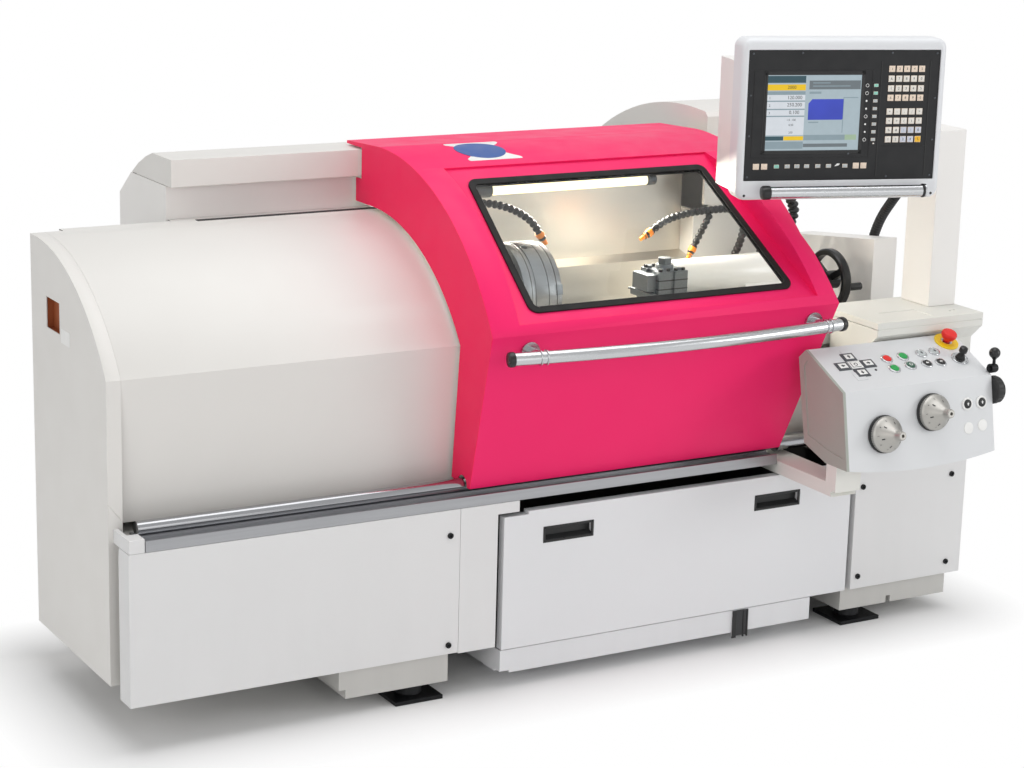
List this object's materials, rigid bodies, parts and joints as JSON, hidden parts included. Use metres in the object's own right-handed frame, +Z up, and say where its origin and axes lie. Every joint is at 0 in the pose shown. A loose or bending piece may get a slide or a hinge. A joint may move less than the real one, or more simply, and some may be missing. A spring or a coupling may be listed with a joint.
{
  "type": "cnc lathe",
  "caption": "Flat-bed machining centre for turned parts: painted covers, a pink sliding hood with a window, chuck, carriage, tailstock, chip drawer, control console and swivelling display.",
  "frame": {"origin": "centre of the footprint at floor level", "axes": "+X along the bed from headstock to tailstock, +Y to the rear, +Z up"},
  "size_m": [2.319, 1.4057, 1.522],
  "materials": {
    "machine_bed": "satin light grey paint",
    "machine_stand": "satin light grey paint",
    "levelling_feet": "blackened steel",
    "coolant_tank": "satin light grey paint",
    "left_end_cap": "satin warm grey paint",
    "headstock_cover": "satin warm light grey paint",
    "left_front_panel": "satin light grey paint",
    "narrow_front_panel": "satin light grey paint",
    "right_front_panel": "satin light grey paint",
    "panel_bolts": "blackened steel",
    "rear_box": "satin light grey paint",
    "rear_box_lid": "satin light grey paint",
    "splash_back": "brushed stainless sheet",
    "right_end_box": "satin light grey paint",
    "right_arch_cover": "satin light grey paint",
    "rail_strip": "drawn aluminium",
    "rail_bracket": "cream paint",
    "guide_rail": "hard chrome",
    "headstock": "painted casting",
    "main_motor": "grey-green paint",
    "motor_pulley": "turned steel",
    "drive_belt": "black rubber",
    "spindle": "ground steel",
    "chuck_body": "ground steel",
    "jaw_1": "ground steel",
    "jaw_2": "ground steel",
    "jaw_3": "ground steel",
    "saddle": "machined casting",
    "cross_slide": "machined casting",
    "tool_post": "ground steel",
    "tool_holder": "ground steel",
    "tailstock": "gloss white paint",
    "quill": "ground steel",
    "tailstock_handwheel": "black moulded rim on a steel hub",
    "clamp_lever": "blackened steel",
    "hood_shell": "glossy hot pink paint",
    "window_pane": "clear safety glass",
    "window_gasket": "black rubber",
    "hood_handle": "satin stainless tube",
    "chip_drawer": "satin light grey paint",
    "console_housing": "satin light grey paint",
    "console_support": "satin light grey paint",
    "column": "satin light grey paint",
    "display_frame": "silver-grey coated aluminium",
    "display_housing": "satin light grey paint",
    "operator_panel": "anthracite membrane panel",
    "display_handle": "satin stainless tube",
    "estop_button": "red plastic",
    "joystick": "black plastic",
    "ball_lever": "black plastic",
    "side_knob": "black plastic",
    "handwheel_1": "satin turned metal",
    "handwheel_2": "satin turned metal",
    "button_red": "red plastic",
    "button_green_1": "green plastic",
    "button_green_2": "green plastic",
    "button_dark": "dark green plastic",
    "lamp": "frosted tube",
    "conduit": "black ribbed hose",
    "coolant_hoses": "black segmented hose"
  },
  "bodies": {
    "machine": {"machine_bed": "machine_bed", "machine_stand": "machine_stand", "levelling_feet": "levelling_feet", "coolant_tank": "coolant_tank", "left_end_cap": "left_end_cap", "headstock_cover": "headstock_cover", "left_front_panel": "left_front_panel", "narrow_front_panel": "narrow_front_panel", "right_front_panel": "right_front_panel", "panel_bolts": "panel_bolts", "rear_box": "rear_box", "rear_box_lid": "rear_box_lid", "splash_back": "splash_back", "right_end_box": "right_end_box", "right_arch_cover": "right_arch_cover", "rail_strip": "rail_strip", "rail_bracket": "rail_bracket", "guide_rail": "guide_rail", "headstock": "headstock", "main_motor": "main_motor", "drive_belt": "drive_belt", "console_housing": "console_housing", "console_support": "console_support", "column": "column", "lamp": "lamp", "conduit": "conduit", "coolant_hoses": "coolant_hoses"},
    "motor_rotor": {"motor_pulley": "motor_pulley"},
    "spindle_group": {"spindle": "spindle", "chuck_body": "chuck_body"},
    "chuck_jaw_1": {"jaw_1": "jaw_1"},
    "chuck_jaw_2": {"jaw_2": "jaw_2"},
    "chuck_jaw_3": {"jaw_3": "jaw_3"},
    "carriage": {"saddle": "saddle"},
    "cross": {"cross_slide": "cross_slide", "tool_post": "tool_post", "tool_holder": "tool_holder"},
    "tailstock_body": {"tailstock": "tailstock"},
    "quill_body": {"quill": "quill"},
    "tail_wheel": {"tailstock_handwheel": "tailstock_handwheel"},
    "clamp": {"clamp_lever": "clamp_lever"},
    "hood": {"hood_shell": "hood_shell", "window_pane": "window_pane", "window_gasket": "window_gasket", "hood_handle": "hood_handle"},
    "drawer": {"chip_drawer": "chip_drawer"},
    "display": {"display_frame": "display_frame", "display_housing": "display_housing", "operator_panel": "operator_panel", "display_handle": "display_handle"},
    "estop": {"estop_button": "estop_button"},
    "joystick_body": {"joystick": "joystick"},
    "ball_lever_body": {"ball_lever": "ball_lever"},
    "side_knob_body": {"side_knob": "side_knob"},
    "crank_1": {"handwheel_1": "handwheel_1"},
    "crank_2": {"handwheel_2": "handwheel_2"},
    "push_red": {"button_red": "button_red"},
    "push_green_1": {"button_green_1": "button_green_1"},
    "push_green_2": {"button_green_2": "button_green_2"},
    "push_dark": {"button_dark": "button_dark"}
  },
  "joints": [
    {"name": "hood_slide", "type": "slide", "parent": "machine", "child": "hood", "axis": [1, 0, 0], "range_m": [-0.78, 0]},
    {"name": "drawer_slide", "type": "slide", "parent": "machine", "child": "drawer", "axis": [0, -1, 0], "range_m": [0, 0.45]},
    {"name": "spindle_spin", "type": "hinge", "parent": "machine", "child": "spindle_group", "pos_m": [0, -0.02, 0.88], "axis": [1, 0, 0], "continuous": true},
    {"name": "motor_spin", "type": "hinge", "parent": "machine", "child": "motor_rotor", "pos_m": [0, -0.02, 0.612], "axis": [1, 0, 0], "continuous": true},
    {"name": "jaw_1_slide", "type": "slide", "parent": "spindle_group", "child": "chuck_jaw_1", "axis": [0, -0.9781, 0.2079], "range_m": [-0.006, 0.008]},
    {"name": "jaw_2_slide", "type": "slide", "parent": "spindle_group", "child": "chuck_jaw_2", "axis": [0, 0.6691, 0.7431], "range_m": [-0.006, 0.008]},
    {"name": "jaw_3_slide", "type": "slide", "parent": "spindle_group", "child": "chuck_jaw_3", "axis": [0, 0.309, -0.9511], "range_m": [-0.006, 0.008]},
    {"name": "carriage_slide", "type": "slide", "parent": "machine", "child": "carriage", "axis": [1, 0, 0], "range_m": [-0.2, 0]},
    {"name": "cross_slide_travel", "type": "slide", "parent": "carriage", "child": "cross", "axis": [0, 1, 0], "range_m": [-0.03, 0.03]},
    {"name": "tailstock_slide", "type": "slide", "parent": "machine", "child": "tailstock_body", "axis": [1, 0, 0], "range_m": [-0.18, 0.02]},
    {"name": "tailstock_wheel_turn", "type": "hinge", "parent": "tailstock_body", "child": "tail_wheel", "pos_m": [0.925, -0.02, 0.836], "axis": [1, 0, 0], "range_deg": [0, 7200]},
    {"name": "quill_slide", "type": "slide", "parent": "tailstock_body", "child": "quill_body", "axis": [1, 0, 0], "range_m": [-0.1, 0]},
    {"name": "clamp_lever_turn", "type": "hinge", "parent": "tailstock_body", "child": "clamp", "pos_m": [0.8, -0.02, 0.88], "axis": [0, 0, 1], "range_deg": [0, 60]},
    {"name": "handwheel_1_turn", "type": "hinge", "parent": "machine", "child": "crank_1", "pos_m": [0.663, -0.62328, 0.596], "axis": [0, -0.9844, 0.1757], "continuous": true},
    {"name": "handwheel_2_turn", "type": "hinge", "parent": "machine", "child": "crank_2", "pos_m": [0.812, -0.61667, 0.633], "axis": [0, -0.9844, 0.1757], "continuous": true},
    {"name": "button_red_press", "type": "slide", "parent": "machine", "child": "push_red", "axis": [0, 0.4236, -0.9059], "range_m": [0, 0.0025], "stiffness_N_per_m": 300, "springref_m": -0.001},
    {"name": "button_green_1_press", "type": "slide", "parent": "machine", "child": "push_green_1", "axis": [0, 0.4236, -0.9059], "range_m": [0, 0.0025], "stiffness_N_per_m": 300, "springref_m": -0.001},
    {"name": "button_green_2_press", "type": "slide", "parent": "machine", "child": "push_green_2", "axis": [0, 0.4236, -0.9059], "range_m": [0, 0.0025], "stiffness_N_per_m": 300, "springref_m": -0.001},
    {"name": "button_dark_press", "type": "slide", "parent": "machine", "child": "push_dark", "axis": [0, 0.4236, -0.9059], "range_m": [0, 0.0025], "stiffness_N_per_m": 300, "springref_m": -0.001},
    {"name": "estop_press", "type": "slide", "parent": "machine", "child": "estop", "axis": [0, 0.4236, -0.9059], "range_m": [0, 0.006]},
    {"name": "joystick_tilt", "type": "hinge", "parent": "machine", "child": "joystick_body", "pos_m": [0.957, -0.53878, 0.7345], "axis": [1, 0, 0], "range_deg": [-12, 12], "stiffness_Nm_per_rad": 0.3},
    {"name": "ball_lever_turn", "type": "hinge", "parent": "machine", "child": "ball_lever_body", "pos_m": [1.005, -0.596, 0.718], "axis": [1, 0, 0], "range_deg": [-25, 25]},
    {"name": "side_knob_turn", "type": "hinge", "parent": "machine", "child": "side_knob_body", "pos_m": [1.005, -0.6, 0.664], "axis": [1, 0, 0], "continuous": true},
    {"name": "display_swivel", "type": "hinge", "parent": "machine", "child": "display", "pos_m": [0.955, -0.3, 1.2], "axis": [0, 0, 1], "range_deg": [0, 35]}
  ],
  "couplings": [
    {"joint": "jaw_2_slide", "follows": "jaw_1_slide", "ratio": 1},
    {"joint": "jaw_3_slide", "follows": "jaw_1_slide", "ratio": 1},
    {"joint": "motor_spin", "follows": "spindle_spin", "ratio": 1.5833},
    {"joint": "quill_slide", "follows": "tailstock_wheel_turn", "m_per_rad": -0.00079577}
  ]
}
